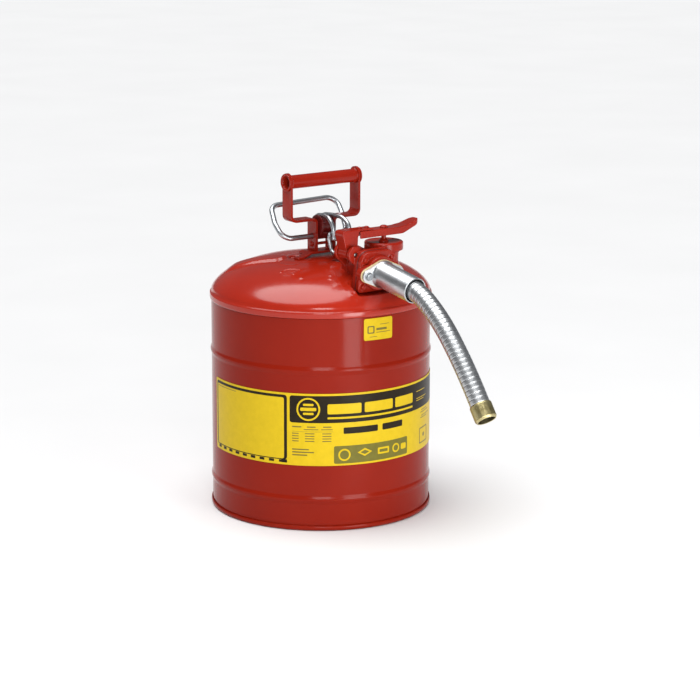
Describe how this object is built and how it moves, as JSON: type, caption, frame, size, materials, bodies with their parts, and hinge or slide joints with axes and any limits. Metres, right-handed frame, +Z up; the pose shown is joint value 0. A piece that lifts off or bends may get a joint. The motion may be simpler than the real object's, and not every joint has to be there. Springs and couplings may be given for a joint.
{
  "type": "safety gas can",
  "caption": "Round steel safety fuel can with a fixed carrying bar, a squeeze trigger that opens a pour valve, a sprung fill lid and a flexible metal pouring hose.",
  "frame": {"origin": "centre of the can's foot ring, on the surface that it stands on", "axes": "+Z up along the can's axis; the spout pours towards -Y; the carrying bar lies along X"},
  "size_m": [0.298, 0.5161, 0.455],
  "materials": {
    "red_paint": "glossy red powder coat",
    "dark_red_paint": "dark red paint",
    "zinc_plate": "bright zinc plate",
    "bare_steel": "bare steel",
    "brass": "machined brass",
    "black_rubber": "black fuel-proof rubber",
    "cork_gasket": "cream fibre gasket",
    "label_print": "yellow printed film"
  },
  "bodies": {
    "can": {"body_shell": "red_paint", "dome_top": "red_paint", "bottom_pan": "red_paint", "label_band": "label_print", "small_label": "label_print", "handle_bracket": "red_paint", "handle_strap_left": "red_paint", "handle_strap_right": "red_paint", "handle_grip": "red_paint", "leg_tie_rivet": "red_paint", "manifold": "red_paint", "flange_gasket": "black_rubber", "pour_flange": "red_paint", "flange_screw_1": "red_paint", "flange_screw_2": "red_paint", "flange_screw_3": "red_paint", "flange_screw_4": "red_paint", "adapter_gasket": "cork_gasket", "hose_adapter": "zinc_plate", "adapter_screw_left": "zinc_plate", "adapter_screw_right": "zinc_plate", "hose_bush": "brass", "packing_nut": "brass", "valve_spring": "bare_steel", "pour_screen": "bare_steel", "filler_neck": "red_paint", "fill_screen": "bare_steel", "lid_hinge_pin": "bare_steel", "lid_spring": "bare_steel", "flex_hose": "zinc_plate", "hose_tip": "brass"},
    "trigger": {"trigger_wire": "zinc_plate", "trigger_cam": "dark_red_paint"},
    "link": {"pull_bail": "zinc_plate", "hook_link": "zinc_plate"},
    "valve": {"valve_stem": "bare_steel", "valve_disc": "bare_steel", "valve_seal": "black_rubber", "stem_clevis": "red_paint"},
    "lid": {"fill_lid": "red_paint", "lid_gasket": "black_rubber", "lid_arm": "red_paint", "lid_lever": "red_paint", "lid_rivet": "red_paint", "lever_rivet_left": "red_paint", "lever_rivet_right": "red_paint"}
  },
  "joints": [
    {"name": "trigger_squeeze", "type": "hinge", "parent": "can", "child": "trigger", "pos_m": [0, -0.0025, 0.3675], "axis": [1, 0, 0], "range_deg": [0, 16]},
    {"name": "link_pivot", "type": "hinge", "parent": "trigger", "child": "link", "pos_m": [0, -0.006, 0.3815], "axis": [1, 0, 0], "range_deg": [-17.6, 0.4]},
    {"name": "valve_slide", "type": "slide", "parent": "can", "child": "valve", "axis": [0, -0.989, -0.1478], "range_m": [0, 0.0044], "stiffness_N_per_m": 150, "springref_m": -0.006, "deforming": ["valve_spring"]},
    {"name": "lid_hinge", "type": "hinge", "parent": "can", "child": "lid", "pos_m": [-0.0266, -0.098, 0.3606], "axis": [0, -1, 0], "range_deg": [0, 70], "stiffness_Nm_per_rad": 0.25, "springref_deg": -45.84}
  ],
  "couplings": [
    {"joint": "link_pivot", "follows": "trigger_squeeze", "ratio": -1.079},
    {"joint": "valve_slide", "follows": "trigger_squeeze", "m_per_rad": 0.01547}
  ]
}
